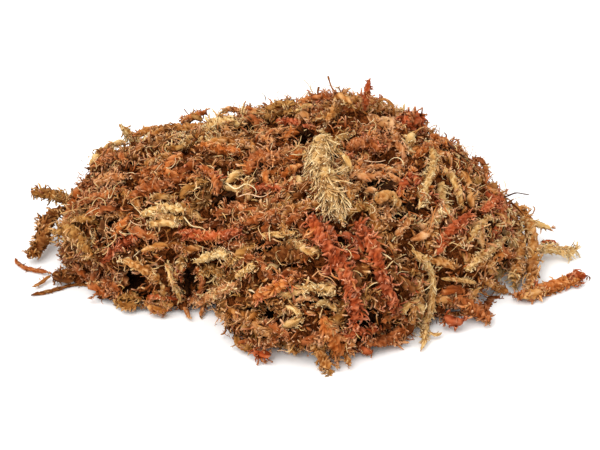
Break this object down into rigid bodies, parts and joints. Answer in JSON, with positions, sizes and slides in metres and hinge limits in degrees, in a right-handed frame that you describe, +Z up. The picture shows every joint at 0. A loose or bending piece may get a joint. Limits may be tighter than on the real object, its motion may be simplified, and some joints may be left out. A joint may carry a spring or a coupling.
{
  "type": "moss clump",
  "caption": "Loose heap of dried bog moss strands, rust, red, ochre and straw coloured, flat underneath to rest on a table or soil.",
  "frame": {"origin": "centre of the clump's bounding box, on the ground that the clump rests on", "axes": "+X to the right along the clump's longest extent, +Y to its back, +Z up; seen from the front, from -Y, it lies as in the picture"},
  "size_m": [0.237, 0.1612, 0.0782],
  "materials": {
    "matted": "dull, rough, matted brown tangle of dry moss",
    "umber": "dull, rough, dark brown dry moss",
    "rust": "dull, rough, rust-brown dry moss",
    "red": "dull, rough, brick-red dry moss",
    "orange": "dull, rough, orange-brown dry moss, papery at the tips",
    "ochre": "dull, rough, ochre dry moss",
    "straw": "dull, rough, pale straw-yellow dry moss",
    "rose": "dull, rough, pinkish beige dry moss"
  },
  "bodies": {
    "root": {"matted_heap": "matted", "ochre_strand_left": "ochre", "brown_strand_left_drop": "rust", "umber_strand_left_low": "umber", "tendril_left": "ochre", "twig_left": "ochre", "straw_tuft_left_top": "straw", "rust_strand_left_shoulder": "rust", "rose_strand_left": "rose", "rust_strand_left_inner": "rust", "olive_tuft_left": "ochre", "red_strand_left_face": "red", "ochre_strand_over_hollow": "ochre", "straw_strand_left_face": "straw", "beige_stem_left_face": "straw", "yellow_tuft_top": "straw", "orange_strand_top": "orange", "rust_strand_top_curl": "rust", "red_strand_ridge": "red", "rust_rosette": "rust", "straw_tuft_crest": "straw", "ochre_strand_crest": "ochre", "red_sprig_crest": "red", "stem_loop_crest": "ochre", "rust_strand_crest_front": "rust", "red_head_crest": "red", "red_strand_face": "red", "straw_strand_face": "straw", "umber_strand_face": "umber", "straw_strand_mid": "straw", "orange_strand_cross": "orange", "red_strand_front": "red", "red_strand_front_right": "red", "rust_foot_left": "rust", "ochre_foot_left": "ochre", "rose_strand_foot": "rose", "rust_foot_front": "rust", "papery_foot_front": "orange", "papery_tip_front": "ochre", "rust_foot_right": "rust", "papery_strand_right": "straw", "ochre_leaf_right": "ochre", "rose_stem_right": "rose", "red_strand_right_face": "red", "red_tuft_right": "red", "straw_strand_fork": "straw", "straw_branch_fork": "straw", "rust_strand_right_low": "rust", "ochre_strand_right_drop": "ochre", "orange_strand_right_foot": "orange", "straw_strand_right_out": "straw", "beige_strand_right_top": "straw", "rust_strand_back": "rust", "ochre_strand_back_right": "ochre", "straw_strand_back": "straw", "red_strand_back": "red"}
  },
  "joints": []
}
